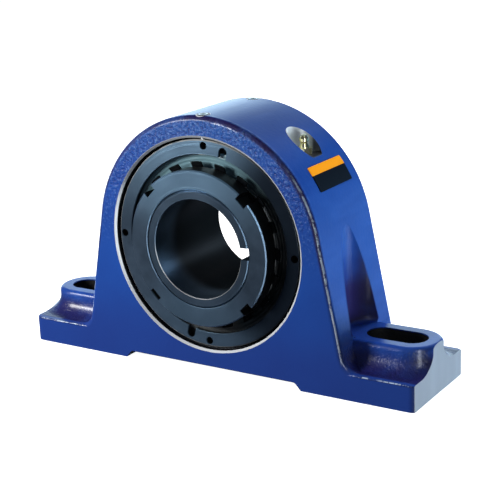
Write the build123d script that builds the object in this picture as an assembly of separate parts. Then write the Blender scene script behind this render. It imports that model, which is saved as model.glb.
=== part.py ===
from build123d import *
import math
import os

os.makedirs("parts", exist_ok=True)

# Origin on the shaft axis at the middle of the bearing. +X runs along the foot, +Y along
# the shaft from the front cover into the housing, +Z is up. All sizes are in millimetres.

# Adapter sleeve, 1 in 12 on the diameter
sleeve_bore_r = 35.72
sleeve_wall = 6.88
sleeve_thread_drop = 0.2
sleeve_tail = 1.5
sleeve_setback = 0.2
sleeve_slit = 8.5
slit_angle = 2.0
sleeve_chamfer = 0.4
sleeve_thread_chamfer = 1.2
sleeve_neck = 1.0
taper_per_mm = 1.0 / 24.0
taper_gap = 0.05
taper_small_r = sleeve_bore_r + sleeve_wall
sleeve_thread_r = taper_small_r - sleeve_thread_drop

# Bearing: rollers, raceways and outer ring
roller_count = 17
roller_r = 8.75
roller_length = 13.0
roller_corner = 0.5
contact_angle = 9.2
race_gap = 0.12
profile_relief = 1.2
inner_wall = 7.66
outer_wall = 7.0
bearing_width = 36.0
ring_corner = 1.2
oil_groove_width = 8.3
oil_groove_depth = 2.0
oil_hole_r = 2.25
oil_hole_count = 3
sphere_r = taper_small_r + inner_wall + 2 * (roller_r + race_gap)
roller_profile_r = sphere_r - profile_relief
bearing_r = sphere_r + outer_wall
half_width = bearing_width / 2

# Guide ring and cages
guide_bore_gap = 0.3
guide_inset = 11.5
guide_end_gap = 0.3
cage_half_band = 2.0
cage_pocket_gap = 0.3
cage_inner_end = 8.2
cage_outer_start = 7.0
cage_outer_end = 8.8
cage_rim_half = 5.0
guide_outer_r = sphere_r - guide_inset

# Stepped bore of the housing, the same from both sides
depth = 79.0
seat_gap = 0.05
thread_relief = 0.6
mouth_step = 1.3
mouth_depth = 5.0
mouth_chamfer = 1.6
half_depth = depth / 2
seat_r = bearing_r + seat_gap
thread_zone_r = bearing_r + thread_relief
mouth_r = thread_zone_r + mouth_step
mouth_chamfer_r = mouth_r + mouth_chamfer

# Housing around the bore
dome_wall = 14.0
floor_wall = 16.5
flange_thickness = 19.0
flank_lean = 11.2
flank_foot_r = 13.0
dome_edge_r = 4.0
flange_edge_r = 1.2
flange_end_r = 7.0
relief_depth = 5.4
relief_length = 150.0
relief_end_slope = 5.0
relief_corner_r = 3.0
dome_r = mouth_chamfer_r + dome_wall
centre_height = mouth_chamfer_r + floor_wall
flange_top_z = flange_thickness - centre_height

# Bolt bosses, their slots and the wrench pockets above them
bolt_reach = 37.5
boss_height = 37.0
boss_shift = 11.0
boss_r = 21.2
boss_rim_r = 3.0
boss_foot_r = 12.0
slot_width = 22.5
slot_length = 44.5
pocket_shift = 17.7
pocket_r = 21.2
pocket_floor_r = 4.5
cast_end = 33.4
milled_end = 30.5
bolt_x = dome_r + bolt_reach
boss_x = bolt_x + boss_shift
pocket_x = bolt_x - pocket_shift
cast_end_x = -bolt_x - cast_end
milled_end_x = bolt_x + milled_end
boss_top_z = boss_height - centre_height

# Threaded covers with spanner holes and notches
cover_gap = 0.2
cover_sink = 3.2
cover_back_gap = 0.1
cover_chamfer = 0.8
cover_wall = 7.9
cover_lip = 2.5
cover_lip_thickness = 3.3
spanner_hole_r = 2.8
spanner_inset = 4.2
spanner_hole_depth = 8.0
spanner_hole_count = 4
spanner_start_angle = -1.0
notch_angle = 75.9
notch_width = 6.5
notch_inset = 2.4
notch_depth = 5.0
cover_r = thread_zone_r - cover_gap
cover_face_y = half_depth - cover_sink
cover_back_y = half_width + cover_back_gap
seal_seat_r = cover_r - cover_wall
cover_inner_r = seal_seat_r - cover_lip
cover_lip_y = cover_face_y - cover_lip_thickness
spanner_circle_r = cover_r - spanner_inset
notch_reach_r = cover_r - notch_inset

# Seals
seal_gap = 0.1
seal_face_gap = 0.2
seal_back_gap = 2.9
seal_wall = 2.4
seal_rim = 3.5
seal_step = 7.5
seal_step_rise = 1.5
seal_lip_gap = 0.85
seal_lip_rise = 4.0
seal_thickness = 1.8
seal_front_y = cover_lip_y - seal_face_gap
seal_back_y = cover_back_y + seal_back_gap
seal_flat_r = seal_seat_r - seal_rim
seal_step_r = seal_seat_r - seal_step
seal_step_y = seal_front_y - seal_step_rise
seal_lip_y = seal_front_y - seal_lip_rise

# Inner ring, whose shoulders carry the seals
shoulder_wall = 7.9
shoulder_past_lip = 4.2
rib_gap = 0.3
shoulder_r = taper_small_r + shoulder_wall
shoulder_y = seal_lip_y + shoulder_past_lip
taper_small_y = -shoulder_y

# Locknut on the sleeve's thread
nut_gap = 0.15
nut_wall = 13.75
nut_width = 13.8
nut_chamfer = 0.8
nut_back_bevel = 1.5
nut_sink = 0.5
nut_slot_width = 9.1
nut_slot_depth = 4.6
nut_slot_count = 4
nut_bore_r = sleeve_thread_r + nut_gap
nut_r = nut_bore_r + nut_wall

# Lockwasher between the locknut and the inner ring
washer_gap = 0.3
washer_thickness = 1.6
washer_rim_inset = 2.3
washer_tab_length = 6.2
washer_dish = 25.0
tab_count = 19
tab_width = 8.3
tab_angle = 95.0
tongue_width = 8.0
tongue_clearance = 1.1
washer_bore_r = sleeve_thread_r + washer_gap
washer_flat_r = nut_r - washer_rim_inset
washer_tab_r = washer_flat_r + washer_tab_length
tongue_r = sleeve_bore_r + tongue_clearance
washer_y = taper_small_y - washer_thickness
nut_face_y = washer_y - nut_width
sleeve_thread_end_y = taper_small_y - sleeve_neck
sleeve_front_y = nut_face_y + sleeve_setback
sleeve_back_y = shoulder_y + sleeve_tail

# Grease pocket on the dome's shoulder, with its nipple
grease_angle = 39.15
grease_y = 3.0
grease_pocket_r = 12.1
grease_floor_wall = 2.95
nipple_shank_r = 4.95
nipple_hole_r = 5.0
nipple_shank_length = 9.5
nipple_hex_flats = 11.0
nipple_hex_height = 5.0
nipple_neck_r = 2.4
nipple_head_r = 3.25
nipple_height = 13.6
nipple_tip_r = 1.9
nipple_chamber_r = 1.3
nipple_mouth_r = 0.9
nipple_seat_depth = 0.6
nipple_feed_r = 0.8
ball_r = 1.2
ball_gap = 0.03
spring_r = 0.95
spring_wire_r = 0.14
spring_turns = 7
spring_floor_height = 3.0
grease_x = dome_r * math.sin(math.radians(grease_angle))
grease_floor_z = grease_floor_wall + math.sqrt(seat_r**2 - (grease_x - grease_pocket_r) ** 2)
nipple_top_z = grease_floor_z + nipple_height

# Lock screws in the crown, one over each cover
lock_screw_inset = 6.8
lock_screw_r = 4.0
lock_hole_r = 4.05
lock_sink_r = 5.25
lock_sink_depth = 1.3
lock_screw_rise = 0.1
lock_screw_cup_r = 2.4
lock_screw_tip_gap = 0.1
lock_socket_flats = 4.0
lock_socket_depth = 4.0
lock_screw_y = half_depth - lock_screw_inset
lock_screw_top_z = dome_r + lock_screw_rise

# Label on the dome
label_low_angle = 26.9
label_high_angle = 38.5
label_front_y = -18.0
label_back_y = 26.8
label_thickness = 0.35
label_glue_gap = 0.03
label_corner_r = 1.0

front_view = Plane(origin=(0, 0, 0), x_dir=(1, 0, 0), z_dir=(0, -1, 0))


def rad(degrees):
    return math.radians(degrees)


def along_y(sketch, y_low, y_high):
    """A sketch drawn as seen from the front, made a solid from y_low to y_high."""
    return extrude(front_view.offset(-y_high) * sketch, y_high - y_low)


def along_z(sketch, z_low, z_high):
    """A sketch drawn in plan, made a solid from z_low to z_high."""
    return extrude(Plane.XY.offset(z_low) * sketch, z_high - z_low)


def turned(*points):
    """A closed outline of (radius, y) points, turned about the shaft axis."""
    return revolve(make_face(Polyline(*points, close=True)), Axis.Y)


def upright(x, y, *points):
    """A closed outline of (radius, z) points, turned about a vertical line at x, y, with
    its seam kept off the planes through the shaft."""
    face = make_face(Plane.XZ * Polyline(*points, close=True))
    return Pos(x, y, 0) * Rot(0, 0, 45) * revolve(face, Axis.Z)


def both_ways(shape):
    """The front shape and its mirror at the back."""
    return shape, mirror(shape, Plane.XZ)


def sleeve_cone_r(y):
    return taper_small_r + (y - taper_small_y) * taper_per_mm


def housing_outline():
    lean = rad(flank_lean)
    tangent_x = dome_r * math.cos(lean)
    tangent_z = dome_r * math.sin(lean)
    flank_x = tangent_x + (tangent_z - flange_top_z) * math.tan(lean)
    far_x = -cast_end_x
    dome = CenterArc((0, 0), dome_r, flank_lean, 180 - 2 * flank_lean)
    sides = Polyline(
        (-tangent_x, tangent_z),
        (-flank_x, flange_top_z),
        (-far_x, flange_top_z),
        (-far_x, -centre_height),
        (far_x, -centre_height),
        (far_x, flange_top_z),
        (flank_x, flange_top_z),
        (tangent_x, tangent_z),
    )
    face = make_face([dome, sides])
    feet = [v for v in face.vertices() if abs(abs(v.X) - flank_x) < 0.01]
    return fillet(feet, flank_foot_r)


def housing_block():
    block = along_y(housing_outline(), -half_depth, half_depth)
    corners = block.edges().filter_by(Axis.Z).filter_by(lambda e: abs(e.center().X) > boss_x)
    block = fillet(corners, flange_end_r)
    rims = [
        e
        for e in block.edges()
        if abs(abs(e.center().Y) - half_depth) < 0.01 and e.center().Z > flange_top_z - 0.01
    ]
    return fillet(rims, dome_edge_r) + foot_slab()


def foot_slab():
    """The flange on its own, whose long top edges are sharper than the dome's."""
    plan = RectangleRounded(-2 * cast_end_x, depth, flange_end_r)
    slab = along_z(plan, -centre_height, flange_top_z)
    top = slab.faces().sort_by(Axis.Z)[-1]
    return fillet(top.edges(), flange_edge_r)


def boss(side):
    top = boss_top_z
    foot_z = flange_top_z + boss_foot_r
    foot_r = boss_r + boss_foot_r
    low = flange_top_z - 3
    edge = Polyline(
        (boss_r, foot_z),
        (boss_r, top - boss_rim_r),
    )
    rim = CenterArc((boss_r - boss_rim_r, top - boss_rim_r), boss_rim_r, 0, 90)
    cap = Polyline(
        (boss_r - boss_rim_r, top),
        (0, top),
        (0, low),
        (foot_r, low),
        (foot_r, flange_top_z),
    )
    sweep = CenterArc((foot_r, foot_z), boss_foot_r, 180, 90)
    half = make_face([edge, rim, cap, sweep])
    round_end = Pos(side * boss_x, 0, 0) * revolve(Plane.XZ * half, Axis.Z)
    inner_x = (mouth_chamfer_r + pocket_x) / 2
    run = extrude(Plane.YZ.offset(inner_x) * half, boss_x - inner_x)
    run = run + mirror(run, Plane.XZ)
    if side < 0:
        run = mirror(run, Plane.YZ)
    return round_end + run


def slot(side):
    plan = Pos(side * bolt_x, 0) * SlotOverall(slot_length, slot_width)
    return along_z(plan, -centre_height - 1, boss_top_z + 1)


def wrench_pocket(side):
    plan = Pos(side * pocket_x, 0) * Circle(pocket_r)
    cutter = along_z(plan, boss_top_z, dome_r)
    return fillet(cutter.edges().sort_by(Axis.Z)[0], pocket_floor_r)


def housing_bore():
    thread_y = half_width
    mouth_y = half_depth - mouth_depth
    chamfer_y = half_depth - mouth_chamfer
    half = turned(
        (0, -half_depth - 1),
        (mouth_chamfer_r + 1, -half_depth - 1),
        (mouth_chamfer_r, -half_depth),
        (mouth_r, -chamfer_y),
        (mouth_r, -mouth_y),
        (thread_zone_r, -mouth_y + 1),
        (thread_zone_r, -thread_y),
        (seat_r, -thread_y),
        (seat_r, 0),
        (0, 0),
    )
    front, back = both_ways(half)
    return front + back


def relief():
    half_roof = relief_length / 2 - relief_end_slope
    roof_z = relief_depth - centre_height
    half_bottom = relief_length / 2
    face = make_face(
        Polyline(
            (-half_bottom, -centre_height - 1),
            (-half_bottom, -centre_height),
            (-half_roof, roof_z),
            (half_roof, roof_z),
            (half_bottom, -centre_height),
            (half_bottom, -centre_height - 1),
            close=True,
        )
    )
    roof = [v for v in face.vertices() if abs(v.Y - roof_z) < 0.01]
    face = fillet(roof, relief_corner_r)
    return along_y(face, -half_depth - 1, half_depth + 1)


def lock_hole(side):
    flare = (lock_sink_r - lock_hole_r) / lock_sink_depth
    return upright(
        0,
        side * lock_screw_y,
        (0, thread_zone_r - 2),
        (lock_hole_r, thread_zone_r - 2),
        (lock_hole_r, dome_r - lock_sink_depth),
        (lock_sink_r + flare, dome_r + 1),
        (0, dome_r + 1),
    )


def grease_hole():
    middle = Pos(grease_x, grease_y)
    low = math.sqrt(seat_r**2 - (grease_x + nipple_hole_r) ** 2) - 1
    pocket = along_z(middle * Circle(grease_pocket_r), grease_floor_z, dome_r)
    shank = along_z(middle * Circle(nipple_hole_r), low, grease_floor_z + 1)
    return pocket + shank


def housing():
    body = housing_block()
    bosses = boss(1) + boss(-1)
    room = Box(-2 * cast_end_x, depth, 2 * boss_height)
    body += bosses & Pos(0, 0, boss_height - centre_height) * room
    for side in (-1, 1):
        body -= wrench_pocket(side)
        body -= slot(side)
    past_end = boss_r + boss_foot_r
    milled = Box(past_end, depth + 2, 4 * boss_height)
    body -= Pos(milled_end_x + past_end / 2, 0, -centre_height) * milled
    body -= relief()
    body -= housing_bore()
    for side in (-1, 1):
        body -= lock_hole(side)
    body -= grease_hole()
    return body


def cover():
    blank = turned(
        (cover_inner_r, -cover_face_y + 0.4),
        (cover_inner_r + 0.4, -cover_face_y),
        (cover_r - cover_chamfer, -cover_face_y),
        (cover_r, -cover_face_y + cover_chamfer),
        (cover_r, -cover_back_y),
        (seal_seat_r, -cover_back_y),
        (seal_seat_r, -cover_lip_y),
        (cover_inner_r, -cover_lip_y),
    )
    places = PolarLocations(spanner_circle_r, spanner_hole_count, spanner_start_angle)
    holes = places * Circle(spanner_hole_r)
    blank -= along_y(Sketch() + holes, -cover_face_y - 1, -cover_face_y + spanner_hole_depth)
    reach = notch_reach_r - notch_width / 2
    length = reach - cover_inner_r + notch_width
    for angle in (notch_angle, notch_angle + 180):
        bar = Pos(reach - length / 2, 0) * Rectangle(length, notch_width)
        tip = Pos(reach, 0) * Circle(notch_width / 2)
        notch = Rot(0, 0, angle) * (bar + tip)
        blank -= along_y(notch, -cover_face_y - 1, -cover_face_y + notch_depth)
    return blank


def seal():
    outer = seal_seat_r - seal_gap
    lip = shoulder_r + seal_lip_gap
    inner_wall = outer - seal_wall
    t = seal_thickness
    return turned(
        (outer, -seal_front_y),
        (seal_flat_r, -seal_front_y),
        (seal_step_r, -seal_step_y),
        (lip + 0.6, -seal_lip_y),
        (lip, -seal_lip_y + 0.6),
        (lip, -seal_lip_y + 1.4),
        (lip + 1.2, -seal_lip_y + t),
        (seal_step_r + 0.6, -seal_step_y + t + 0.2),
        (inner_wall - 1.5, -seal_front_y + t + 0.4),
        (inner_wall, -seal_front_y + t + 1.6),
        (inner_wall, -seal_back_y),
        (outer, -seal_back_y),
    )


def outer_ring():
    edge_sphere_r = math.sqrt(sphere_r**2 - half_width**2)
    ring = turned(
        (edge_sphere_r - 4, -half_width),
        (bearing_r - ring_corner, -half_width),
        (bearing_r, -half_width + ring_corner),
        (bearing_r, half_width - ring_corner),
        (bearing_r - ring_corner, half_width),
        (edge_sphere_r - 4, half_width),
    )
    ring -= Sphere(sphere_r)
    groove_half = oil_groove_width / 2
    ring -= turned(
        (bearing_r - oil_groove_depth, -groove_half + 0.8),
        (bearing_r + 1, -groove_half - 0.4),
        (bearing_r + 1, groove_half + 0.4),
        (bearing_r - oil_groove_depth, groove_half - 0.8),
    )
    for i in range(oil_hole_count):
        hole = Pos(0, 0, bearing_r) * Cylinder(oil_hole_r, 4 * outer_wall)
        ring -= Rot(0, i * 360 / oil_hole_count, 0) * hole
    return ring


def row_point(axial, radial):
    """(radius, y) of a point in the rear row, from the middle of its roller: axial along
    the roller towards the outside of the bearing, radial away from the shaft."""
    angle = rad(contact_angle)
    reach = sphere_r - roller_r - race_gap
    radius = (reach + radial) * math.cos(angle) - axial * math.sin(angle)
    y = (reach + radial) * math.sin(angle) + axial * math.cos(angle)
    return radius, y


def roller_edge_r(axial):
    """Radius of the barrel-shaped roller at a distance from its middle."""
    sag = roller_profile_r - math.sqrt(roller_profile_r**2 - axial**2)
    return roller_r - sag


def race_arc():
    """Inner raceway of the rear row as three (radius, y) points, inboard to outboard."""
    inboard = -roller_length / 2 - guide_end_gap
    outboard = roller_length / 2 + rib_gap
    points = []
    for axial in (inboard, 0, outboard):
        swell = roller_profile_r + race_gap
        sag = swell - math.sqrt(swell**2 - axial**2)
        points.append(row_point(axial, -roller_r - race_gap + sag))
    return points


def inner_ring():
    inboard, middle, outboard = race_arc()
    rib = row_point(roller_length / 2 + rib_gap, -roller_r + 1.9)
    front_bore = sleeve_cone_r(-shoulder_y)
    back_bore = sleeve_cone_r(shoulder_y)

    def front(point):
        return point[0], -point[1]

    rib_top = (shoulder_r, rib[1])
    lines = [
        Polyline(front(rib_top), (shoulder_r, -shoulder_y + 0.6), (shoulder_r - 0.6, -shoulder_y)),
        Line((shoulder_r - 0.6, -shoulder_y), (front_bore, -shoulder_y)),
        Line((front_bore, -shoulder_y), (back_bore, shoulder_y)),
        Polyline((back_bore, shoulder_y), (shoulder_r - 0.6, shoulder_y)),
        Polyline((shoulder_r - 0.6, shoulder_y), (shoulder_r, shoulder_y - 0.6), rib_top),
        Line(rib_top, outboard),
        ThreePointArc(outboard, middle, inboard),
        Line(inboard, front(inboard)),
        ThreePointArc(front(inboard), front(middle), front(outboard)),
        Line(front(outboard), front(rib_top)),
    ]
    return revolve(make_face(lines), Axis.Y)


def guide_ring():
    end = -roller_length / 2 - guide_end_gap
    bore = race_arc()[0][0] + guide_bore_gap

    def face_y(radius):
        root = row_point(end, 0)
        return root[1] - (root[0] - radius) * math.tan(rad(contact_angle))

    low = face_y(bore)
    high = face_y(guide_outer_r)
    return turned(
        (bore, -low),
        (guide_outer_r, -high),
        (guide_outer_r, high),
        (bore, low),
    )


def roller_frame(row, index):
    """Plane at a roller's middle, its z along the roller's axis towards +Y."""
    shift = 0.5 if row < 0 else 0.0
    turn = rad((index + shift) * 360 / roller_count)
    radius, y = row_point(0, 0)
    tilt = rad(contact_angle)
    out = (math.cos(turn), math.sin(turn))
    lean = -row * math.sin(tilt)
    return Plane(
        origin=(radius * out[0], row * y, radius * out[1]),
        x_dir=(-out[1], 0, out[0]),
        z_dir=(lean * out[0], math.cos(tilt), lean * out[1]),
    )


def cage(row):
    inner_end = -cage_inner_end
    rim_start = inner_end + 1.2
    band = turned(
        row_point(inner_end, -cage_half_band),
        row_point(cage_outer_start, -cage_half_band),
        row_point(cage_outer_start, -cage_rim_half),
        row_point(cage_outer_end, -cage_rim_half),
        row_point(cage_outer_end, cage_rim_half),
        row_point(cage_outer_start, cage_rim_half),
        row_point(cage_outer_start, cage_half_band),
        row_point(rim_start, cage_half_band),
        row_point(rim_start, cage_half_band + 1.0),
        row_point(inner_end, cage_half_band + 1.0),
    )
    window_r = roller_r + cage_pocket_gap
    window_length = roller_length + 2 * cage_pocket_gap
    for i in range(roller_count):
        band -= roller_frame(1, i) * Cylinder(window_r, window_length)
    if row > 0:
        return band
    band = mirror(band, Plane.XZ)
    return Rot(0, -180 / roller_count, 0) * band


def roller():
    half = roller_length / 2
    waist = half - roller_corner
    barrel = make_face(
        [
            Polyline(
                (roller_edge_r(waist), waist),
                (roller_edge_r(half) - roller_corner, half),
                (0, half),
                (0, -half),
                (roller_edge_r(half) - roller_corner, -half),
                (roller_edge_r(waist), -waist),
            ),
            ThreePointArc(
                (roller_edge_r(waist), -waist),
                (roller_r, 0),
                (roller_edge_r(waist), waist),
            ),
        ]
    )
    return revolve(Plane.XZ * barrel, Axis.Z)


def adapter_sleeve():
    cone_start = sleeve_cone_r(sleeve_thread_end_y) - taper_gap
    cone_end = sleeve_cone_r(sleeve_back_y) - taper_gap
    c = sleeve_chamfer
    body = turned(
        (sleeve_bore_r + c, sleeve_front_y),
        (sleeve_thread_r - sleeve_thread_chamfer, sleeve_front_y),
        (sleeve_thread_r, sleeve_front_y + sleeve_thread_chamfer),
        (sleeve_thread_r, sleeve_thread_end_y),
        (cone_start, sleeve_thread_end_y),
        (cone_end, sleeve_back_y),
        (sleeve_bore_r + c, sleeve_back_y),
        (sleeve_bore_r, sleeve_back_y - c),
        (sleeve_bore_r, sleeve_front_y + c),
    )
    gap = Pos(sleeve_bore_r, 0) * Rectangle(4 * sleeve_wall, sleeve_slit)
    cut = Rot(0, 0, slit_angle) * gap
    return body - along_y(cut, sleeve_front_y - 1, sleeve_back_y + 1)


def lockwasher():
    front_y = washer_y
    back_y = taper_small_y
    rise = (washer_tab_r - washer_flat_r) * math.tan(rad(washer_dish))
    dish = turned(
        (washer_bore_r, back_y),
        (washer_flat_r, back_y),
        (washer_tab_r, back_y - rise),
        (washer_tab_r, front_y - rise),
        (washer_flat_r, front_y),
        (washer_bore_r, front_y),
    )
    star = Circle(washer_flat_r)
    for i in range(tab_count):
        tab = Pos(washer_flat_r, 0) * Rectangle(4 * washer_tab_length, tab_width)
        star += Rot(0, 0, tab_angle + i * 360 / tab_count) * tab
    dish &= along_y(star, front_y - rise - 1, back_y + 1)
    reach = washer_bore_r + 3 - tongue_r
    tongue = Pos(tongue_r + reach / 2, 0) * Rectangle(reach, tongue_width)
    return dish + along_y(Rot(0, 0, slit_angle) * tongue, front_y, back_y)


def locknut():
    back_y = washer_y
    c = nut_chamfer
    body = turned(
        (nut_bore_r, nut_face_y + nut_sink),
        (nut_bore_r + nut_sink, nut_face_y),
        (nut_r - c, nut_face_y),
        (nut_r, nut_face_y + c),
        (nut_r, back_y - nut_back_bevel),
        (washer_flat_r, back_y),
        (nut_bore_r, back_y),
    )
    for i in range(nut_slot_count):
        middle = nut_r - nut_slot_depth / 2 + 2
        cut = Pos(middle, 0) * Rectangle(nut_slot_depth + 4, nut_slot_width)
        angle = 45 + i * 360 / nut_slot_count
        body -= along_y(Rot(0, 0, angle) * cut, nut_face_y - 1, back_y + 1)
    return body


def grease_nipple():
    floor = grease_floor_z
    top = nipple_top_z
    hex_top = floor + nipple_hex_height
    plan = RegularPolygon(nipple_hex_flats / 2, 6, major_radius=False)
    body = along_z(Pos(grease_x, grease_y) * plan, floor, hex_top)
    head_low = top - 4.2
    body &= upright(
        grease_x,
        grease_y,
        (0, floor - 1),
        (nipple_hex_flats, floor - 1),
        (nipple_hex_flats, hex_top - 2.9),
        (nipple_hex_flats / 2, hex_top),
        (0, hex_top),
    )
    body += upright(
        grease_x,
        grease_y,
        (0, floor - nipple_shank_length),
        (nipple_shank_r - 0.8, floor - nipple_shank_length),
        (nipple_shank_r, floor - nipple_shank_length + 0.8),
        (nipple_shank_r, floor + 0.5),
        (nipple_neck_r + 1.2, floor + 0.5),
        (nipple_neck_r + 1.2, hex_top + 0.4),
        (nipple_neck_r, head_low - 1.4),
        (nipple_head_r, head_low),
        (nipple_head_r, head_low + 1.9),
        (nipple_tip_r, top),
        (0, top),
    )
    seat_z = top - nipple_seat_depth
    chamber_floor = floor + spring_floor_height
    return body - upright(
        grease_x,
        grease_y,
        (0, floor - nipple_shank_length - 1),
        (nipple_feed_r, floor - nipple_shank_length - 1),
        (nipple_feed_r, chamber_floor),
        (nipple_chamber_r, chamber_floor),
        (nipple_chamber_r, seat_z - (nipple_chamber_r - nipple_mouth_r)),
        (nipple_mouth_r, seat_z),
        (nipple_mouth_r, top + 1),
        (0, top + 1),
    )


def ball_z():
    """Middle of the ball at rest, just under its conical seat."""
    seat_z = nipple_top_z - nipple_seat_depth
    return seat_z + nipple_mouth_r - (ball_r + ball_gap) * math.sqrt(2)


def nipple_ball():
    return Pos(grease_x, grease_y, ball_z()) * Sphere(ball_r)


def nipple_spring():
    low = grease_floor_z + spring_floor_height + spring_wire_r + 0.05
    high = ball_z() - ball_r - spring_wire_r + 0.45
    length = high - low
    path = Helix(length / spring_turns, length, spring_r)
    start = Plane(origin=path @ 0, z_dir=path % 0)
    coil = sweep(start * RegularPolygon(spring_wire_r, 8), path)
    return Pos(grease_x, grease_y, low) * coil


def lock_screw(side):
    tip = cover_r + lock_screw_tip_gap
    top = lock_screw_top_z
    body = upright(
        0,
        side * lock_screw_y,
        (0, tip),
        (lock_screw_cup_r, tip),
        (lock_screw_r, tip + 1.6),
        (lock_screw_r, top - 0.6),
        (lock_screw_r - 0.6, top),
        (0, top),
    )
    plan = RegularPolygon(lock_socket_flats / 2, 6, major_radius=False)
    socket = along_z(Pos(0, side * lock_screw_y) * plan, top - lock_socket_depth, top + 1)
    return body - socket


def label():
    middle = rad((label_low_angle + label_high_angle) / 2)
    arc = rad(label_high_angle - label_low_angle)
    out = (math.cos(middle), 0, math.sin(middle))
    y = (label_front_y + label_back_y) / 2
    origin = (dome_r * out[0], y, dome_r * out[2])
    flat = Plane(origin=origin, x_dir=(0, 1, 0), z_dir=out)
    plan = RectangleRounded(label_back_y - label_front_y, arc * dome_r, label_corner_r)
    inner = dome_r + label_glue_gap
    skin = turned(
        (inner, label_front_y - 1),
        (inner + label_thickness, label_front_y - 1),
        (inner + label_thickness, label_back_y + 1),
        (inner, label_back_y + 1),
    )
    return skin & extrude(flat.offset(-5) * plan, 10)


def write(name, shape):
    export_step(shape, "parts/" + name + ".step")


write("housing", housing())
for name, made in (("cover", cover()), ("seal", seal())):
    front_one, rear_one = both_ways(made)
    write("front_" + name, front_one)
    write("rear_" + name, rear_one)
write("outer_ring", outer_ring())
write("inner_ring", inner_ring())
write("guide_ring", guide_ring())
one_roller = roller()
for row, end in ((-1, "front"), (1, "rear")):
    write(end + "_cage", cage(row))
    write(end + "_lock_screw", lock_screw(row))
    for i in range(roller_count):
        write(f"{end}_roller_{i + 1:02d}", roller_frame(row, i) * one_roller)
write("adapter_sleeve", adapter_sleeve())
write("lockwasher", lockwasher())
write("locknut", locknut())
write("grease_nipple", grease_nipple())
write("nipple_ball", nipple_ball())
write("nipple_spring", nipple_spring())
write("label", label())
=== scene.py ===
import math

import bpy
import numpy as np
from mathutils import Matrix, Vector

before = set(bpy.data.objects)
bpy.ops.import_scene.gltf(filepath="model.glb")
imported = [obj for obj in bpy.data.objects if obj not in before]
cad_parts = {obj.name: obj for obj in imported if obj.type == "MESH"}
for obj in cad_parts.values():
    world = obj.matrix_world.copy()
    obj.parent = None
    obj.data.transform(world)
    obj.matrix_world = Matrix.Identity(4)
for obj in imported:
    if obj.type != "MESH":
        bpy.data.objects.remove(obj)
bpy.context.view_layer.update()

print("frame loaded:", len(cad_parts), "nodes")


# A wire is a socket in a material: writing maths on wires adds the Math nodes for it.
class Wire:
    def __init__(self, recipe, socket):
        self.recipe = recipe
        self.socket = socket

    def maths(self, operation, *values):
        numbered = dict(enumerate(values))
        return self.recipe.add("ShaderNodeMath", {"operation": operation}, numbered)

    def __add__(self, other):
        return self.maths("ADD", self, other)

    def __radd__(self, other):
        return self.maths("ADD", other, self)

    def __sub__(self, other):
        return self.maths("SUBTRACT", self, other)

    def __rsub__(self, other):
        return self.maths("SUBTRACT", other, self)

    def __mul__(self, other):
        return self.maths("MULTIPLY", self, other)

    def __rmul__(self, other):
        return self.maths("MULTIPLY", other, self)

    def __truediv__(self, other):
        return self.maths("DIVIDE", self, other)

    def __neg__(self):
        return self.maths("MULTIPLY", self, -1.0)

    def __abs__(self):
        return self.maths("ABSOLUTE", self)

    def root(self):
        return self.maths("SQRT", self)

    def sine(self):
        return self.maths("SINE", self)

    def least(self, other):
        return self.maths("MINIMUM", self, other)

    def most(self, other):
        return self.maths("MAXIMUM", self, other)

    def angleFrom(self, other):
        return self.maths("ARCTAN2", self, other)

    # 0 below low and 1 above high, with a soft step between; low may be above high
    def step(self, low, high):
        return self.recipe.add(
            "ShaderNodeMapRange",
            {"interpolation_type": "SMOOTHSTEP"},
            {"Value": self, "From Min": low, "From Max": high},
        )


# A recipe is one material, with its nodes and the place on the part as x, y and z wires.
class Recipe:
    def __init__(self, name):
        self.material = bpy.data.materials.new(name)
        self.material.use_nodes = True
        self.nodes = self.material.node_tree.nodes
        self.links = self.material.node_tree.links
        self.nodes.clear()
        self.place = self.add("ShaderNodeTexCoord", out="Object")
        split = self.add("ShaderNodeSeparateXYZ", None, {0: self.place}, out=None)
        self.x, self.y, self.z = (Wire(self, split.outputs[i]) for i in range(3))

    # any node: its type, its settings, then values or wires for its inputs
    def add(self, kind, settings=None, inputs=None, out=0):
        node = self.nodes.new(kind)
        for key, value in (settings or {}).items():
            setattr(node, key, value)
        for key, value in (inputs or {}).items():
            if isinstance(value, Wire):
                self.links.new(value.socket, node.inputs[key])
            else:
                node.inputs[key].default_value = value
        return node if out is None else Wire(self, node.outputs[out])

    def noise(self, scale, detail=3.0, roughness=0.55, stretch=None):
        where = self.place
        if stretch:
            where = self.add("ShaderNodeMapping", None, {"Vector": where, "Scale": stretch})
        sizes = {"Vector": where, "Scale": scale, "Detail": detail, "Roughness": roughness}
        return self.add("ShaderNodeTexNoise", None, sizes)

    def blendColour(self, share, first, second):
        def full(colour):
            return colour if isinstance(colour, Wire) else (*colour, 1.0)

        colours = {0: share, 6: full(first), 7: full(second)}
        return self.add("ShaderNodeMix", {"data_type": "RGBA"}, colours, out=2)

    def blendNormal(self, share, first, second):
        normals = {0: share, 4: first, 5: second}
        return self.add("ShaderNodeMix", {"data_type": "VECTOR"}, normals, out=1)

    def bump(self, height, strength, distance, under=None, width=0.3):
        inputs = {"Height": height, "Strength": strength, "Distance": distance}
        inputs["Filter Width"] = width
        if under is not None:
            inputs["Normal"] = under
        return self.add("ShaderNodeBump", None, inputs)

    # the shader's inputs are given by name, with _ for a space
    def finish(self, **inputs):
        named = {key.replace("_", " "): value for key, value in inputs.items()}
        for key in ("Base Color", "Emission Color"):
            if key in named and not isinstance(named[key], Wire):
                named[key] = (*named[key], 1.0)
        shader = self.add("ShaderNodeBsdfPrincipled", None, named)
        self.add("ShaderNodeOutputMaterial", None, {"Surface": shader}, out=None)
        return self.material


def lengthOf(first, second):
    return (first * first + second * second).root()


mm = 0.001

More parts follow.
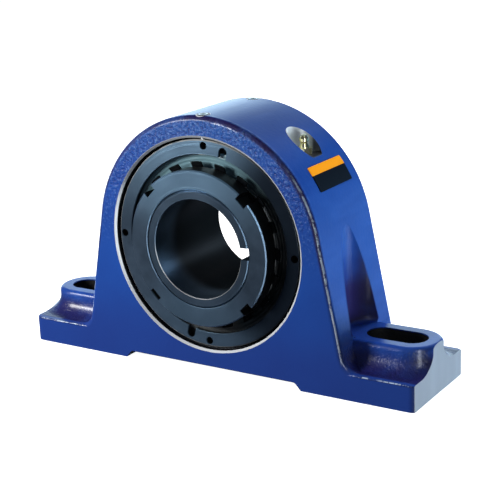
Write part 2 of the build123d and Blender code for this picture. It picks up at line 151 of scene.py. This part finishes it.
# The housing's paint, and where its bare machined metal shows. A pair of values is a soft
# step, 0 at the first and 1 at the second. Noises give scale, detail, roughness, stretch.
castPaint = {
    # paint colours, among them painted highlights and painted shade
    "blue": (0.016, 0.098, 0.50),
    "deepBlue": (0.015, 0.066, 0.37),
    "lowShadeBlue": (0.021, 0.050, 0.30),
    "paintedSkyHighlight": (0.055, 0.210, 0.60),
    "streakBlue": (0.030, 0.125, 0.56),
    "pitShade": (0.014, 0.040, 0.24),
    "paintedGlint": (0.15, 0.31, 0.70),
    "paintedEdgeHighlight": (0.62, 0.78, 1.0),
    "shadePurple": (0.019, 0.012, 0.105),
    "slotShadeBlack": (0.003, 0.003, 0.004),
    # metal colours, among them a painted shade on metal
    "bareMetal": (0.93, 0.97, 1.0),
    "millBlue": (0.52, 0.55, 0.60),
    "cutMarks": (0.82, 0.86, 0.90),
    "metalShadeDark": (0.012, 0.014, 0.018),
    # machined faces: the mouth and its chamfer, the milled end, the base, the screws' sinks
    "paintLine": 0.1 * mm,
    "boreRadius": 78.56 * mm,
    "mouthRadius": 76.98 * mm,
    "milledEnd": 160.4 * mm,
    "baseHeight": -94.93 * mm,
    "sinkY": 32.7 * mm,
    "sinkRadius": 5.35 * mm,
    "sinkHeights": (90.0 * mm, 90.5 * mm),
    # the nipple's pocket, with the share of x and y in its downhill way
    "pocketX": 58.4 * mm,
    "pocketY": 3.0 * mm,
    "pocketRadius": 12.16 * mm,
    "pocketFloor": 61.5 * mm,
    "pocketFall": (0.85, 0.3),
    "lowSide": (0.0, 5.0 * mm),
    "highSide": (-1.0 * mm, -6.0 * mm),
    # the housing's outline: its arch, leaning flanks, flange, bosses and the gap below
    "arch": 92.5 * mm,
    "archEdge": 4.0 * mm,
    "halfDepth": 39.5 * mm,
    "flankLean": 11.2,
    "flankTurn": (-1.0 * mm, 1.0 * mm),
    "flangeTop": -76.0 * mm,
    "flangeEdge": 1.2 * mm,
    "bossTop": -58.0 * mm,
    "slotX": 130.0 * mm,
    "slotRadius": 11.25 * mm,
    "slotReach": 11.0 * mm,
    "slotWall": (0.3 * mm, 0.1 * mm),
    "slotDepths": (-0.3 * mm, -1.2 * mm),
    "gapLength": 75.0 * mm,
    "gapFoot": 95.0 * mm,
    "gapSlope": 1.08,
    "gapWall": (-0.25 * mm, -0.1 * mm),
    "gapHeights": (-89.2 * mm, -89.5 * mm),
    # where the sand's grain shows
    "faceDepths": (34.0 * mm, 39.0 * mm),
    "grainyHeights": (-20.0 * mm, 65.0 * mm),
    "patches": (24.0, 2.0, 0.5),
    "grainyPatches": (0.15, 0.50),
    "footReach": (94.0 * mm, 100.0 * mm),
    "footDepths": (37.5 * mm, 34.0 * mm),
    "footDrop": (-1.0 * mm, -4.0 * mm),
    "cast": (330.0, 3.0, 0.6),
    "castDepth": 0.30,
    "castHeight": 0.5 * mm,
    "peel": (430.0, 2.0, 0.7),
    "peelDepth": 1.3,
    "peelHeight": 1.0 * mm,
    "archPeel": 0.7,
    "footPeel": 0.6,
    "cuts": (900.0, 2.0),
    "cutDepth": 0.02,
    "cutHeight": 0.2 * mm,
    # painted shade on the rounded edges and in the hollows, as shares of the edge's radius and
    # heights
    "archAround": (0.0, 0.45),
    "archForward": (0.05, 0.5),
    "archHeights": (-45.0 * mm, 10.0 * mm),
    "archTop": (25.0 * mm, 65.0 * mm),
    "hollowTop": (-61.0 * mm, -69.0 * mm),
    "hollowBottom": (-79.0 * mm, -78.0 * mm),
    "hollowShare": 0.9,
    "wrenchX": 112.3 * mm,
    "wrenchRadius": 22.0 * mm,
    "wrenchBlur": 1.0 * mm,
    "wrenchTop": (5.0 * mm, -35.0 * mm),
    "wrenchRise": (0.5 * mm, 3.0 * mm),
    "clouds": (38.0, 2.0, 0.5),
    "cloudSpread": (0.35, 0.6),
    "cloudShare": 0.45,
    # where a pale line of painted highlight runs along the edges
    "footEdge": (0.1 * mm, 0.5 * mm),
    "footHighlightReach": (112.0 * mm, 120.0 * mm),
    "footHighlightRise": (1.0 * mm, 0.3 * mm),
    "footHighlightBreaks": (0.46, 0.60),
    "wander": (75.0, 2.0, 0.6),
    "wanderWidth": 3.2 * mm,
    "archLine": (1.3 * mm, 0.6 * mm),
    "archOnEdge": (1.6 * mm, 2.2 * mm),
    "archHighlightTop": (66.0 * mm, 40.0 * mm),
    "archHighlightBottom": (-72.0 * mm, -64.0 * mm),
    "archHighlightBreaks": (0.38, 0.55),
    "highlightBreaks": (230.0, 2.0, 0.7),
    # how the blues mix: random tones, with a painted highlight near the top and painted shade
    # lower down
    "deepPatches": (0.3, 0.75),
    "deepShare": 0.5,
    "lowHeights": (-20.0 * mm, -80.0 * mm),
    "lowShare": 0.6,
    "skyHighlightHeights": (45.0 * mm, 92.0 * mm),
    "skyHighlightShare": 0.4,
    "streaks": (40.0, 3.0, 0.6, (1.0, 0.30, 1.0)),
    "streakSpread": (0.42, 0.68),
    "streakShare": 0.6,
    "pitShadeSpread": (0.50, 0.36),
    "pitShadeShare": 0.8,
    "paintedGlintSpread": (0.52, 0.70),
    "millMarks": (60.0, 3.0, 0.6, (1.0, 1.0, 0.2)),
    "millSpread": (0.3, 0.8),
    "millShare": 0.2,
    "lowSideShade": 0.9,
    # the shader's values: paint first, then what each kind of face adds or takes
    "rough": 0.34,
    "bareRough": 0.04,
    "boreRough": -0.12,
    "dullRough": 0.25,
    "dullHollows": 1.6,
    "bareMetallic": 0.40,
    "chamferMetallic": -0.22,
    "pocketMetallic": 0.15,
    "highSideMetallic": -0.50,
    "coat": 0.65,
    "wrenchCoat": 0.9,
    "coatRough": 0.19,
    "gloss": 0.25,
}


# masks for the faces that carry no paint: 1 on the face and 0 off it
def machinedFaces(r, c):
    line = c["paintLine"]
    reach = lengthOf(r.x, r.z)
    across, along = r.x - c["pocketX"], r.y - c["pocketY"]
    pocket = lengthOf(across, along).step(c["pocketRadius"] + line, c["pocketRadius"])
    pocket = pocket * r.z.step(c["pocketFloor"] - line, c["pocketFloor"])
    downhill = across * c["pocketFall"][0] + along * c["pocketFall"][1]
    fromSink = lengthOf(r.x, abs(r.y) - c["sinkY"])
    sink = fromSink.step(c["sinkRadius"] + line, c["sinkRadius"])
    bore = reach.step(c["boreRadius"] + line, c["boreRadius"])
    milled = r.x.step(c["milledEnd"] - line, c["milledEnd"])
    ground = r.z.step(c["baseHeight"] + line, c["baseHeight"])
    sink = sink * r.z.step(*c["sinkHeights"])
    return {
        "bore": bore,
        "wall": bore * reach.step(c["mouthRadius"] + line, c["mouthRadius"]),
        "milled": milled,
        "pocket": pocket,
        "lowSide": pocket * downhill.step(*c["lowSide"]),
        "highSide": pocket * downhill.step(*c["highSide"]),
        "bare": bore.most(milled).most(ground).most(pocket).most(sink),
    }


# masks for the rounded edge of the arch and flanks, the foot's hollows and the openings
def paintedPlaces(r, c):
    side, depth = abs(r.x), abs(r.y)
    # how far out a point is: from the shaft on the arch, square to the flank below it
    lean = math.radians(c["flankLean"])
    aboveFlank = (r.z - side * math.tan(lean)).step(*c["flankTurn"])
    outOfFlank = side * math.cos(lean) + r.z * math.sin(lean)
    outward = lengthOf(r.x, r.z) * aboveFlank + outOfFlank * (1.0 - aboveFlank)
    edge = c["archEdge"]
    farOut = outward - c["arch"] + edge
    deepIn = depth - c["halfDepth"] + edge
    arch = (farOut / edge).step(*c["archAround"]) * (deepIn / edge).step(*c["archForward"])
    arch = arch * r.z.step(*c["archHeights"])

    # the painted highlight line on that edge wanders from side to side
    wander = (r.noise(*c["wander"]) - 0.5) * c["wanderWidth"]
    archLine = abs(deepIn - farOut + wander).step(*c["archLine"])
    archLine = archLine * deepIn.least(farOut).step(*c["archOnEdge"])
    archLine = archLine * r.z.step(*c["archHighlightTop"]) * r.z.step(*c["archHighlightBottom"])

    # a painted highlight line also runs along the flange's front top edge
    overFlange = r.z - c["flangeTop"]
    footLine = (depth - c["halfDepth"] + c["flangeEdge"]).step(*c["footEdge"])
    footLine = footLine * (overFlange + c["flangeEdge"]).step(*c["footEdge"])
    footLine = footLine * side.step(*c["footHighlightReach"]) * overFlange.step(*c["footHighlightRise"])
    highlightBreaks = r.noise(*c["highlightBreaks"])

    overBoss = r.z - c["bossTop"]
    foot = side.step(*c["footReach"]) * depth.step(*c["footDepths"])
    foot = foot * overBoss.step(*c["footDrop"])
    hollow = foot * r.z.step(*c["hollowTop"]) * r.z.step(*c["hollowBottom"])
    toWrench = lengthOf(side - c["wrenchX"], r.y)
    radius, blur = c["wrenchRadius"], c["wrenchBlur"]
    wrench = toWrench.step(radius + blur, radius - blur)
    wrench = wrench * r.z.step(*c["wrenchTop"]) * overBoss.step(*c["wrenchRise"])

    # painted shade inside the bolt slots, and on the slanted ends of the gap under the foot
    past = (abs(side - c["slotX"]) - c["slotReach"]).most(0.0)
    slot = (lengthOf(past, r.y) - c["slotRadius"]).step(*c["slotWall"])
    slot = slot * overBoss.step(*c["slotDepths"])
    gap = (c["gapLength"] - side) * c["gapSlope"] - (r.z + c["gapFoot"])
    gap = gap.step(*c["gapWall"]) * r.z.step(*c["gapHeights"])
    return {
        "arch": arch,
        "archTop": arch * r.z.step(*c["archTop"]),
        "foot": foot,
        "footLine": footLine,
        "paintedEdgeHighlight": archLine * highlightBreaks.step(*c["archHighlightBreaks"]) + footLine * highlightBreaks.step(*c["footHighlightBreaks"]),
        "hollow": hollow,
        "wrench": wrench,
        "slot": slot.most(gap),
    }


def paintedCasting():
    c = castPaint
    r = Recipe("enamelledCasting")
    metal = machinedFaces(r, c)
    place = paintedPlaces(r, c)
    bare, arch, wrench, slot = metal["bare"], place["arch"], place["wrench"], place["slot"]

    # the sand's grain shows most around the upper arch, and on the edges
    facing = abs(r.y).step(*c["faceDepths"])
    patches = r.noise(*c["patches"])
    grainy = facing * r.z.step(*c["grainyHeights"]) * patches.step(*c["grainyPatches"])
    speckle = r.noise(*c["peel"])
    relief = grainy.most(arch * c["archPeel"]).most(place["foot"] * c["footPeel"])
    relief = relief.most(place["footLine"])
    lumps = r.bump(r.noise(*c["cast"]), c["castDepth"], c["castHeight"])
    peel = r.bump(speckle * relief, c["peelDepth"], c["peelHeight"], lumps)
    smooth = r.bump(r.noise(*c["cuts"]), c["cutDepth"], c["cutHeight"], None, 1.0)

    deep = patches.step(*c["deepPatches"]) * c["deepShare"]
    paint = r.blendColour(deep, c["blue"], c["deepBlue"])
    # lower down the paint is painted darker, a painted shade
    paint = r.blendColour(r.z.step(*c["lowHeights"]) * c["lowShare"], paint, c["lowShadeBlue"])
    # near the top the front face is painted lighter, a painted highlight
    skyHighlight = facing * r.z.step(*c["skyHighlightHeights"]) * c["skyHighlightShare"]
    paint = r.blendColour(skyHighlight, paint, c["paintedSkyHighlight"])
    streaks = r.noise(*c["streaks"]).step(*c["streakSpread"])
    streaks = streaks * (1.0 - facing) * c["streakShare"]
    paint = r.blendColour(streaks, paint, c["streakBlue"])
    # the grain's bumps are painted in colour too: dark pits as painted shade, pale glints as
    # painted highlights
    paintedPitShade = speckle.step(*c["pitShadeSpread"]) * grainy * c["pitShadeShare"]
    paint = r.blendColour(paintedPitShade, paint, c["pitShade"])
    paint = r.blendColour(speckle.step(*c["paintedGlintSpread"]) * grainy, paint, c["paintedGlint"])

    # painted shade, dark and purple, on the arch's rounded edge and in the hollows
    clouds = r.noise(*c["clouds"]).step(*c["cloudSpread"]) * c["cloudShare"]
    shade = arch.most(place["hollow"] * c["hollowShare"]).most(wrench)
    shade = shade * (1.0 - c["cloudShare"] + clouds)
    paint = r.blendColour(shade, paint, c["shadePurple"])
    # a pale painted highlight line along the arch's edge and the flange's edge
    paint = r.blendColour(place["paintedEdgeHighlight"], paint, c["paintedEdgeHighlight"])
    # the slots and the gap under the foot are painted black, a painted shade
    paint = r.blendColour(slot, paint, c["slotShadeBlack"])

    # painted shade darkens the mouth's wall behind its chamfer and the low side of the nipple's
    # pocket
    steel = r.blendColour(metal["milled"], c["bareMetal"], c["millBlue"])
    marks = r.noise(*c["millMarks"]).step(*c["millSpread"]) * c["millShare"]
    steel = r.blendColour(marks, steel, c["cutMarks"])
    metalShade = metal["wall"].most(metal["lowSide"] * c["lowSideShade"])
    steel = r.blendColour(metalShade, steel, c["metalShadeDark"])

    chamfer = metal["bore"] * (1.0 - metal["wall"])
    metallic = bare * c["bareMetallic"] + chamfer * c["chamferMetallic"]
    metallic = metallic + metal["pocket"] * c["pocketMetallic"]
    dull = place["archTop"].most(wrench.most(slot) * c["dullHollows"])
    rough = c["rough"] + bare * c["bareRough"] + metal["bore"] * c["boreRough"]
    coat = (1.0 - bare.most(slot)) * (1.0 - place["archTop"].most(wrench * c["wrenchCoat"]))
    return r.finish(
        Base_Color=r.blendColour(bare, paint, steel),
        Metallic=metallic + metal["highSide"] * c["highSideMetallic"],
        Roughness=rough + dull * c["dullRough"],
        Normal=r.blendNormal(bare, peel, smooth),
        Coat_Weight=coat * c["coat"],
        Coat_Roughness=c["coatRough"],
        Specular_IOR_Level=c["gloss"],
    )


# black oxide on turned steel, with fine rings about the shaft
oxide = {
    "dark": (0.10, 0.155, 0.22),
    "light": (0.14, 0.21, 0.30),
    "paintedHighlight": (0.24, 0.41, 0.58),
    "paintedShade": (0.018, 0.030, 0.048),
    "black": (0.006, 0.008, 0.010),
    "wornHighlight": (0.80, 0.82, 0.80),
    "mottle": (45.0, 4.0, 0.6),
    "mottleSpread": (0.3, 0.75),
    "mottleRough": 0.12,
    # tone painted paler at the top and bottom, a painted highlight, and darker on the right, a
    # painted shade
    "highlightTop": (0.1, 1.0),  # upward share of the way out from the shaft
    "highlightBottom": (0.5, 1.0),  # the same downward
    "highlightBottomShare": 0.5,
    "shadeRight": (0.1, 0.75),  # the same to the right
    "wornHighlightCore": 0.6,  # share of the edge's width that is fully bright
    "wornHighlightFade": 0.4,
    "wornHighlightPatches": (90.0, 3.0),
    "wornHighlightSpread": (0.20, 0.45),
    "wornHighlightColour": 0.9,
    "wornHighlightMetallic": -0.45,
    "wornHighlightInShade": 0.85,
    "metallic": 0.85,
    "blackMetallic": -0.8,
    "rough": 0.33,
    "ringPitch": 0.45 * mm,
    "ringDetail": 2.0,
    "ringDepth": 1.0,
    "ringHeight": 0.1 * mm,
}

# shine: share of the lighter tone; worn edges: rubbed bare and painted bright as a painted
# highlight, as radius, half width and the upward share where they end; black: where along the
# shaft the steel is painted near black, a painted shade behind the front faces and deep in the
# bore; the washer, which sits in that shade, is black all over; the last two: how far the tone is
# painted lighter at the top, a painted highlight, and darker on the right, a painted shade
oxidedPieces = {
    "coverSteel": {
        "shine": 1.0,
        "wornHighlight": ((75.1 * mm, 0.6 * mm, 2.0),),
        "black": (-35.4 * mm, -35.0 * mm),
        "highlightStrength": 0.65,
        "shadeStrength": 1.0,
        "gloss": 0.5,
    },
    "nutSteel": {
        "shine": 1.0,
        "wornHighlight": (),
        "black": (-47.6 * mm, -47.2 * mm),
        "highlightStrength": 0.95,
        "shadeStrength": 0.25,
        "gloss": 0.5,
    },
    "sleeveSteel": {
        "shine": 0.5,
        "wornHighlight": ((36.0 * mm, 0.25 * mm, 0.1),),
        "black": (-43.0 * mm, -20.0 * mm),
        "highlightStrength": 0.0,
        "shadeStrength": 0.3,
        "gloss": 0.15,
    },
    "washerSteel": {
        "shine": 0.3,
        "wornHighlight": (),
        "black": (-80.0 * mm, -79.0 * mm),
        "highlightStrength": 0.0,
        "shadeStrength": 0.0,
        "gloss": 0.15,
    },
}


def blackOxide(name):
    c = oxide
    piece = oxidedPieces[name]
    r = Recipe(name)
    reach = lengthOf(r.x, r.z)
    upward, right = r.z / reach, r.x / reach
    rings = r.add(
        "ShaderNodeTexNoise",
        {"noise_dimensions": "1D"},
        {"W": reach / c["ringPitch"], "Scale": 1.0, "Detail": c["ringDetail"]},
    )
    mottle = r.noise(*c["mottle"])
    lighter = mottle.step(*c["mottleSpread"]) * piece["shine"]
    colour = r.blendColour(lighter, c["dark"], c["light"])
    # the top and bottom are painted paler, a painted highlight, and the right darker, a painted
    # shade
    colour = r.blendColour(upward.step(*c["highlightTop"]) * piece["highlightStrength"], colour, c["paintedHighlight"])
    below = (-upward).step(*c["highlightBottom"]) * (piece["highlightStrength"] * c["highlightBottomShare"])
    colour = r.blendColour(below, colour, c["paintedHighlight"])
    paintedShade = right.step(*c["shadeRight"]) * piece["shadeStrength"]
    colour = r.blendColour(paintedShade, colour, c["paintedShade"])
    metallic = c["metallic"]
    # edges rubbed bare and also painted bright as a painted highlight, fainter on the right
    for radius, width, end in piece["wornHighlight"]:
        wornHighlight = abs(reach - radius).step(width, c["wornHighlightCore"] * width)
        wornHighlight = wornHighlight * upward.step(end, end - c["wornHighlightFade"])
        wornHighlight = wornHighlight * r.noise(*c["wornHighlightPatches"]).step(*c["wornHighlightSpread"])
        wornHighlight = wornHighlight * (1.0 - paintedShade * c["wornHighlightInShade"])
        colour = r.blendColour(wornHighlight * c["wornHighlightColour"], colour, c["wornHighlight"])
        metallic = metallic + wornHighlight * c["wornHighlightMetallic"]
    # behind the front faces and deep in the bore the steel is painted near black, a painted shade
    black = r.y.step(*piece["black"])
    return r.finish(
        Base_Color=r.blendColour(black, colour, c["black"]),
        Metallic=metallic * (1.0 + black * c["blackMetallic"]),
        Roughness=c["rough"] + c["mottleRough"] * (mottle - 0.5),
        Normal=r.bump(rings, c["ringDepth"], c["ringHeight"]),
        Specular_IOR_Level=piece["gloss"],
    )


# the two seals, moulded with fine ridges about the shaft, with a painted highlight on top and
# painted shade to the right and below
seal = {
    "dark": (0.022, 0.050, 0.056),
    "light": (0.050, 0.100, 0.110),
    "paintedHighlight": (0.26, 0.47, 0.55),
    "black": (0.006, 0.010, 0.012),
    "share": 0.9,
    "swirl": (30.0, 3.0, 0.5),
    "highlightTop": (0.2, 1.0),
    "blackRight": (0.1, 0.8),
    "blackBottom": (0.4, 0.9),
    "bottomEnd": (0.5, 0.2),
    "ridges": 2300.0,  # radians per metre
    "ridgeHeight": 0.09 * mm,
    "rough": 0.26,
    "swirlRough": 0.10,
    "bottomRough": 0.45,
}


def sealRubber():
    c = seal
    r = Recipe("sealRubber")
    reach = lengthOf(r.x, r.z)
    upward, right = r.z / reach, r.x / reach
    swirl = r.noise(*c["swirl"])
    colour = r.blendColour(swirl, c["dark"], c["light"])
    colour = r.blendColour(upward.step(*c["highlightTop"]) * c["share"], colour, c["paintedHighlight"])
    colour = r.blendColour(right.step(*c["blackRight"]) * c["share"], colour, c["black"])
    bottom = (-upward).step(*c["blackBottom"]) * right.step(*c["bottomEnd"])
    colour = r.blendColour(bottom * c["share"], colour, c["black"])
    ridges = (reach * c["ridges"]).sine() * (1.0 - bottom)
    return r.finish(
        Base_Color=colour,
        Roughness=c["rough"] + c["swirlRough"] * swirl + c["bottomRough"] * bottom,
        Normal=r.bump(ridges, 1.0, c["ridgeHeight"]),
        Specular_IOR_Level=1.0,
    )


# metals without wear: two tones mixed by a fine grain, which also roughens them
plainMetals = {
    "groundSteel": {
        "first": (0.55, 0.57, 0.59),
        "second": (0.72, 0.74, 0.76),
        "grain": (900.0, 2.0),
        "rough": 0.12,
        "grainRough": 0.10,
    },
    "cageBrass": {
        "first": (0.55, 0.36, 0.10),
        "second": (0.74, 0.52, 0.18),
        "grain": (300.0, 3.0),
        "rough": 0.25,
        "grainRough": 0.12,
    },
    "nipplePlating": {
        "first": (0.80, 0.72, 0.28),
        "second": (1.0, 0.96, 0.72),
        "grain": (220.0, 3.0),
        "spread": (0.3, 0.7),
        "rough": 0.16,
        "grainRough": 0.10,
    },
}


def plainMetal(name):
    c = plainMetals[name]
    r = Recipe(name)
    grain = r.noise(*c["grain"])
    share = grain.step(*c["spread"]) if "spread" in c else grain
    return r.finish(
        Base_Color=r.blendColour(share, c["first"], c["second"]),
        Metallic=1.0,
        Roughness=c["rough"] + c["grainRough"] * grain,
    )


# the label's film, orange above an angle of the dome and black below it
labelPrint = {
    "orange": (1.0, 0.38, 0.006),
    "paleOrange": (1.0, 0.44, 0.02),
    "black": (0.005, 0.008, 0.014),
    "orangeGlow": (0.32, 0.10, 0.0),
    "divide": 34.45,  # degrees above the +X axis
    "divideBlur": 0.0015,  # radians
    "grain": (500.0, 2.0),
    "grainShare": 0.3,
    "grainDepth": 0.03,
    "grainHeight": 0.1 * mm,
    "rough": 0.40,
    "grainRough": 0.08,
    "gloss": 0.25,
}


def printedFilm():
    c = labelPrint
    r = Recipe("printedFilm")
    divide, blur = math.radians(c["divide"]), c["divideBlur"]
    band = r.z.angleFrom(r.x).step(divide - blur, divide + blur)
    grain = r.noise(*c["grain"])
    orange = r.blendColour(grain * c["grainShare"], c["orange"], c["paleOrange"])
    return r.finish(
        Base_Color=r.blendColour(band, c["black"], orange),
        # the orange print also glows faintly, painted light that no lamp gives
        Emission_Color=r.blendColour(band, (0.0, 0.0, 0.0), c["orangeGlow"]),
        Emission_Strength=1.0,
        Roughness=c["rough"] + c["grainRough"] * grain,
        Normal=r.bump(grain, c["grainDepth"], c["grainHeight"]),
        Specular_IOR_Level=c["gloss"],
    )


coverSteel = blackOxide("coverSteel")
rubber = sealRubber()
brass = plainMetal("cageBrass")
finishes = {
    "housing": paintedCasting(),
    "front_cover": coverSteel,
    "rear_cover": coverSteel,
    "front_seal": rubber,
    "rear_seal": rubber,
    "locknut": blackOxide("nutSteel"),
    "lockwasher": blackOxide("washerSteel"),
    "adapter_sleeve": blackOxide("sleeveSteel"),
    "grease_nipple": plainMetal("nipplePlating"),
    "label": printedFilm(),
    "front_cage": brass,
    "rear_cage": brass,
}
# the rings, rollers, screws, ball and spring are all ground bright
bright = plainMetal("groundSteel")
for name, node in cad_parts.items():
    node.data.materials.clear()
    node.data.materials.append(finishes.get(name, bright))
print("finishes given to", len(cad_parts), "nodes")

# the camera, as found from the photo: angles in degrees, lengths in metres
photoCamera = {
    "azimuth": 32.54,
    "elevation": 16.33,
    "roll": -2.29,
    "distance": 0.93999,
    "lens": 93.88,  # millimetres, as the sensor's width
    "sensor": 36.0,
    "aimX": 0.01288,
    "aimZ": -0.01158,
    "clipStart": 0.05,
    "clipEnd": 60.0,
}


def makeCamera():
    c = photoCamera
    azimuth, elevation, roll = (math.radians(c[k]) for k in ("azimuth", "elevation", "roll"))
    back = Vector(
        (
            math.sin(azimuth) * math.cos(elevation),
            -math.cos(azimuth) * math.cos(elevation),
            math.sin(elevation),
        )
    )
    level = (-back).cross(Vector((0, 0, 1))).normalized()
    rise = level.cross(-back)
    right = level * math.cos(roll) + rise * math.sin(roll)
    up = rise * math.cos(roll) - level * math.sin(roll)
    camera = bpy.data.objects.new("camera", bpy.data.cameras.new("camera"))
    bpy.context.scene.collection.objects.link(camera)
    camera.data.lens = c["lens"]
    camera.data.sensor_width = c["sensor"]
    camera.data.clip_start = c["clipStart"]
    camera.data.clip_end = c["clipEnd"]
    turn = Matrix((right, up, back)).transposed().to_4x4()
    spot = Vector((c["aimX"], 0.0, c["aimZ"])) + back * c["distance"]
    camera.matrix_world = Matrix.Translation(spot) @ turn
    bpy.context.scene.camera = camera


makeCamera()

# the paper bowl that the part stands in, and the air's light; lengths in metres
studio = {
    "paper": (0.93, 0.94, 0.95),
    "palePaper": (0.95, 0.955, 0.96),
    "paperTone": (3.0, 2.0),
    "paperRough": 0.9,
    "paperGlow": 1.05,
    "floorHeight": -95.0 * mm,
    "middleHole": 0.01,
    "floorRadius": 2.6,
    "bendRadius": 1.2,
    "bendPoints": 24,
    "wallHeight": 5.0,
    "bowlSides": 96,
    "air": (0.60, 0.68, 0.90),
    "airStrength": 0.10,
}


def paperFinish():
    r = Recipe("studioPaper")
    tone = r.noise(*studio["paperTone"])
    return r.finish(
        Base_Color=r.blendColour(tone, studio["paper"], studio["palePaper"]),
        Roughness=studio["paperRough"],
        Emission_Color=studio["paper"],
        Emission_Strength=studio["paperGlow"],
        Specular_IOR_Level=0.0,
    )


# a staged sheet of points and four-sided faces
def stageSheet(name, points, faces, material):
    mesh = bpy.data.meshes.new(name)
    mesh.from_pydata(points.tolist(), [], faces.tolist())
    sheet = bpy.data.objects.new(name, mesh)
    bpy.context.scene.collection.objects.link(sheet)
    mesh.materials.append(material)
    return sheet


# a round floor that bends up into a wall all round: a profile of straight, arc and
# straight in reach and height, turned about Z, so x = reach cos(a) and y = reach sin(a)
def makePaper():
    edge, bend, sides = studio["floorRadius"], studio["bendRadius"], studio["bowlSides"]
    turn = np.linspace(0.0, math.pi / 2, studio["bendPoints"])
    reach = np.concatenate(([studio["middleHole"]], edge + bend * np.sin(turn), [edge + bend]))
    height = np.concatenate(([0.0], bend * (1 - np.cos(turn)), [studio["wallHeight"]]))
    angle = np.linspace(0.0, 2 * math.pi, sides, endpoint=False)
    across = np.outer(reach, np.cos(angle))
    along = np.outer(reach, np.sin(angle))
    up = np.repeat(height[:, None] + studio["floorHeight"], sides, axis=1)
    points = np.stack([across, along, up], axis=-1).reshape(-1, 3)
    ring, place = np.meshgrid(np.arange(len(reach) - 1), np.arange(sides), indexing="ij")
    after = (place + 1) % sides
    inner, outer = ring * sides, (ring + 1) * sides
    faces = np.stack([inner + place, inner + after, outer + after, outer + place], axis=-1)
    paper = stageSheet("paper", points, faces.reshape(-1, 4), paperFinish())
    for polygon in paper.data.polygons:
        polygon.use_smooth = True
    paper.visible_glossy = False
    paper.visible_diffuse = False
    paper.visible_shadow = False


makePaper()

# White cards that only reflections see. corners: low left, low right, high right, high
# left; fade: heights between which the card's glow dies away; spares: nodes that don't
# mirror it; only: nodes that alone mirror it
aroundTheBore = ("adapter_sleeve", "front_seal", "lockwasher", "front_cover", "locknut")
cards = {
    "backCard": {
        "corners": ((-4.0, 2.2, -1.2), (-0.2, 2.2, -1.2), (-0.2, 2.2, 1.6), (-4.0, 2.2, 1.6)),
        "glow": 1.9,
        "tint": (0.62, 0.86, 1.0),
        "fade": (0.45, 1.5),
        "spares": aroundTheBore,
    },
    "endCard": {
        "corners": ((-0.2, 2.2, -1.2), (3.6, 2.2, -1.2), (3.6, 2.2, 1.4), (-0.2, 2.2, 1.4)),
        "glow": 0.60,
        "tint": (0.24, 0.58, 1.0),
        "fade": (0.1, 1.1),
        "spares": aroundTheBore,
    },
    "boreCard": {
        "corners": ((0.9, 2.2, 0.4), (1.7, 2.2, 0.4), (1.7, 2.2, 1.1), (0.9, 2.2, 1.1)),
        "glow": 4.6,
        "tint": (0.60, 0.78, 1.0),
        "fade": (2.0, 2.5),
        "only": ("adapter_sleeve",),
    },
    "sideCard": {
        "corners": (
            (1.20, -1.06, -2.4),
            (1.38, -0.82, -2.4),
            (1.38, -0.82, 1.5),
            (1.20, -1.06, 1.5),
        ),
        "glow": 8.0,
        "tint": (0.90, 0.96, 1.0),
        "fade": (2.0, 2.5),
    },
}
cardGrain = {"noise": (8.0, 2.0), "share": 0.1, "white": (1.0, 1.0, 1.0), "dark": (0.0, 0.0, 0.0)}


def cardFinish(name, glow, tint, fade):
    c = cardGrain
    r = Recipe(name + "White")
    colour = r.blendColour(r.noise(*c["noise"]) * c["share"], tint, c["white"])
    return r.finish(
        Base_Color=c["dark"],
        Emission_Color=r.blendColour(r.z.step(*fade), colour, c["dark"]),
        Emission_Strength=glow,
        Specular_IOR_Level=0.0,
    )


def makeCards():
    for name, c in cards.items():
        finish = cardFinish(name, c["glow"], c["tint"], c["fade"])
        card = stageSheet(name, np.array(c["corners"]), np.array([[0, 1, 2, 3]]), finish)
        card.visible_camera = False
        card.visible_diffuse = False
        card.visible_shadow = False
        listed = c.get("spares", c.get("only", ()))
        if listed:
            receivers = bpy.data.collections.new(name + "Receivers")
            for node in listed:
                receivers.objects.link(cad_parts[node])
            card.light_linking.receiver_collection = receivers
            for link in receivers.collection_objects:
                link.light_linking.link_state = "EXCLUDE" if "spares" in c else "INCLUDE"


makeCards()

# Softboxes, which all look at the bearing. at: where each stands; size: width and height
# in metres; power: watts; mirrored: whether shiny faces show it
softboxes = {
    "key": {
        "at": (-0.56, -0.66, 0.30),
        "size": (0.26, 0.26),
        "power": 7.4,
        "tint": (1.0, 0.98, 0.96),
        "mirrored": True,
    },
    "overhead": {
        "at": (0.12, 1.00, 1.05),
        "size": (0.8, 0.5),
        "power": 12.5,
        "tint": (1.0, 1.0, 1.0),
        "mirrored": False,
    },
    "bounce": {
        "at": (1.05, 0.84, -0.35),
        "size": (0.6, 0.5),
        "power": 18.0,
        "tint": (0.80, 0.92, 1.0),
        "mirrored": False,
    },
}


def makeLights():
    for name, s in softboxes.items():
        light = bpy.data.lights.new(name, "AREA")
        light.shape = "RECTANGLE"
        light.size, light.size_y = s["size"]
        light.energy = s["power"]
        light.color = s["tint"]
        box = bpy.data.objects.new(name, light)
        bpy.context.scene.collection.objects.link(box)
        box.visible_camera = False
        box.visible_glossy = s["mirrored"]
        spot = Vector(s["at"])
        turn = spot.to_track_quat("Z", "Y").to_matrix().to_4x4()
        box.matrix_world = Matrix.Translation(spot) @ turn
    world = bpy.data.worlds.new("air")
    bpy.context.scene.world = world
    world.use_nodes = True
    skyHighlight = world.node_tree.nodes["Background"]
    skyHighlight.inputs["Color"].default_value = (*studio["air"], 1.0)
    skyHighlight.inputs["Strength"].default_value = studio["airStrength"]


makeLights()
bpy.context.scene.view_settings.view_transform = "Standard"
print("camera, paper,", len(cards), "cards and", len(softboxes), "softboxes in place")
